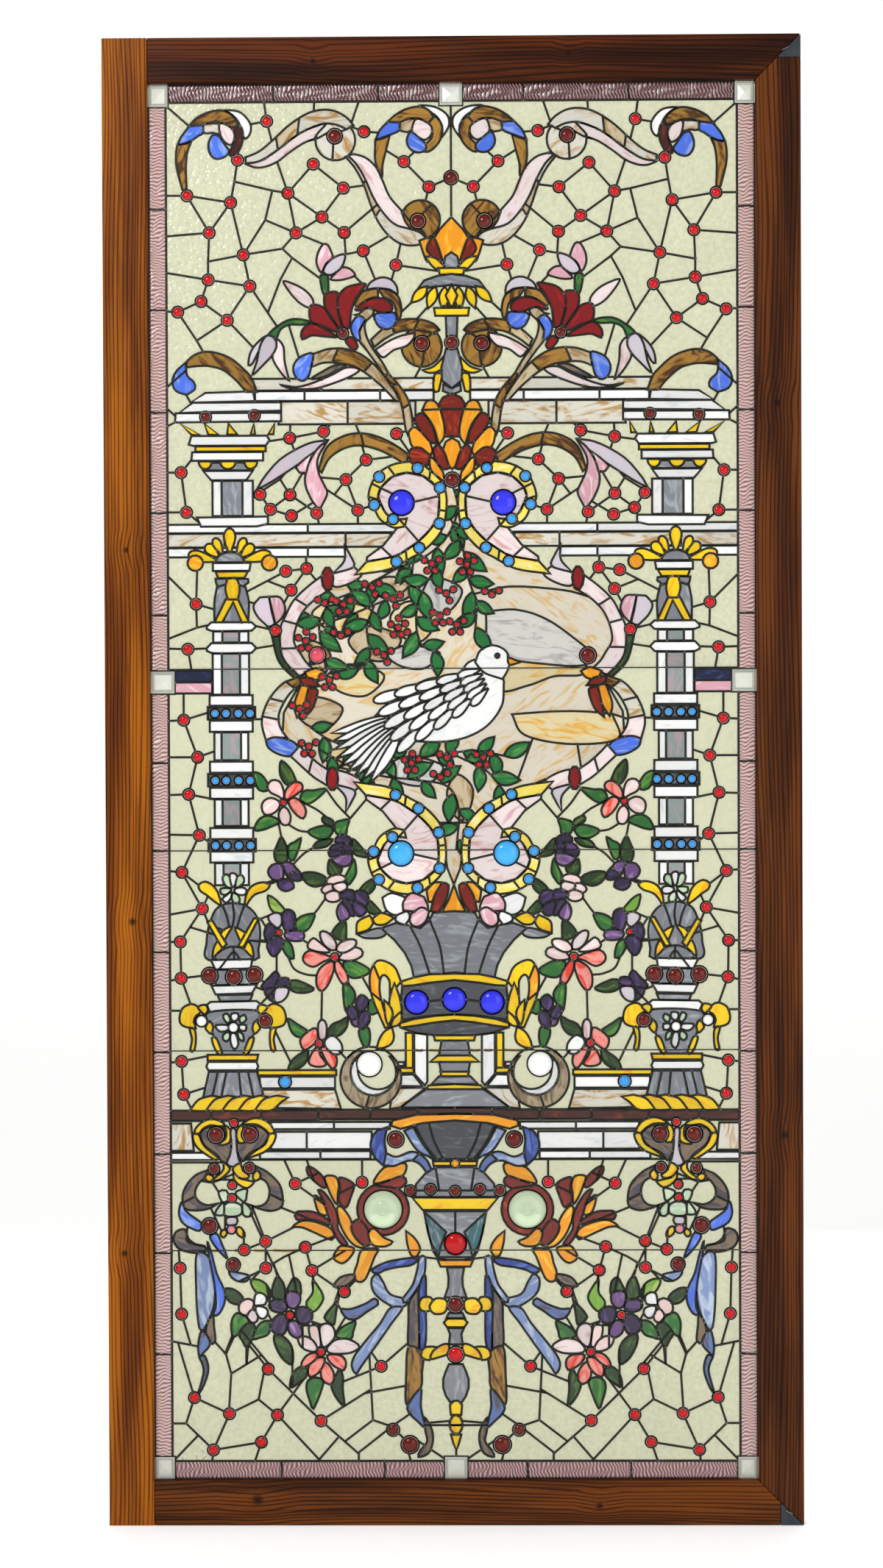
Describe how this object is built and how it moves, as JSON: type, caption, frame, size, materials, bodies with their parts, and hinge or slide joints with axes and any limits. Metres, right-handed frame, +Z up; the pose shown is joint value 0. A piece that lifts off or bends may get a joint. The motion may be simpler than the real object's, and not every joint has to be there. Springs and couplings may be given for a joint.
{
  "type": "stained glass window",
  "caption": "Tall leaded stained glass window in a pine frame, with jewelled columns, scrolls, urn and medallion in opalescent glass, fixed into a wall opening",
  "frame": {"origin": "Middle of the underside of the bottom rail, at mid depth, where the window sits on its sill", "axes": "+X to the viewer's right, +Y through the window towards the back, +Z up; the front faces -Y"},
  "size_m": [1.067, 0.0494, 2.282],
  "materials": {
    "pine": "stained and varnished pine, satin",
    "dark_wedge": "dark painted corner piece",
    "steel": "dull mild steel",
    "lead": "lead came with tinned solder, dulled",
    "field_glass": "ivory green opalescent sheet glass",
    "clear_glass": "pressed clear glass",
    "white_glass": "white pressed glass",
    "cobalt_glass": "cobalt pressed glass jewel",
    "sky_glass": "pale blue pressed glass jewel",
    "red_glass": "ruby pressed glass jewel"
  },
  "bodies": {
    "root": {"bead_bottom": "pine", "bead_left": "pine", "bead_right": "pine", "bead_top": "pine", "block_bottom_centre": "clear_glass", "block_bottom_left": "clear_glass", "block_bottom_right": "clear_glass", "block_side_left": "clear_glass", "block_side_right": "clear_glass", "block_top_centre": "clear_glass", "block_top_left": "clear_glass", "block_top_right": "clear_glass", "glass_foot": "field_glass", "glass_lower": "field_glass", "glass_medallion": "field_glass", "glass_middle": "field_glass", "glass_top": "field_glass", "jewel_cobalt_left": "cobalt_glass", "jewel_cobalt_right": "cobalt_glass", "jewel_red_centre": "red_glass", "jewel_sky_left": "sky_glass", "jewel_sky_right": "sky_glass", "jewel_urn_centre": "cobalt_glass", "jewel_urn_side_left": "cobalt_glass", "jewel_urn_side_right": "cobalt_glass", "jewel_white_left": "white_glass", "jewel_white_right": "white_glass", "lead_back_foot": "lead", "lead_back_lower": "lead", "lead_back_medallion": "lead", "lead_back_middle": "lead", "lead_back_top": "lead", "lead_front_foot": "lead", "lead_front_lower": "lead", "lead_front_medallion": "lead", "lead_front_middle": "lead", "lead_front_top": "lead", "nail_bottom": "steel", "nail_top": "steel", "rail_bottom": "pine", "rail_top": "pine", "rondel_clear_left": "clear_glass", "rondel_clear_right": "clear_glass", "saddle_bar_1": "steel", "saddle_bar_2": "steel", "saddle_bar_3": "steel", "saddle_bar_4": "steel", "stile_left": "pine", "stile_right": "pine", "wedge_bottom": "dark_wedge", "wedge_top": "dark_wedge"}
  },
  "joints": []
}
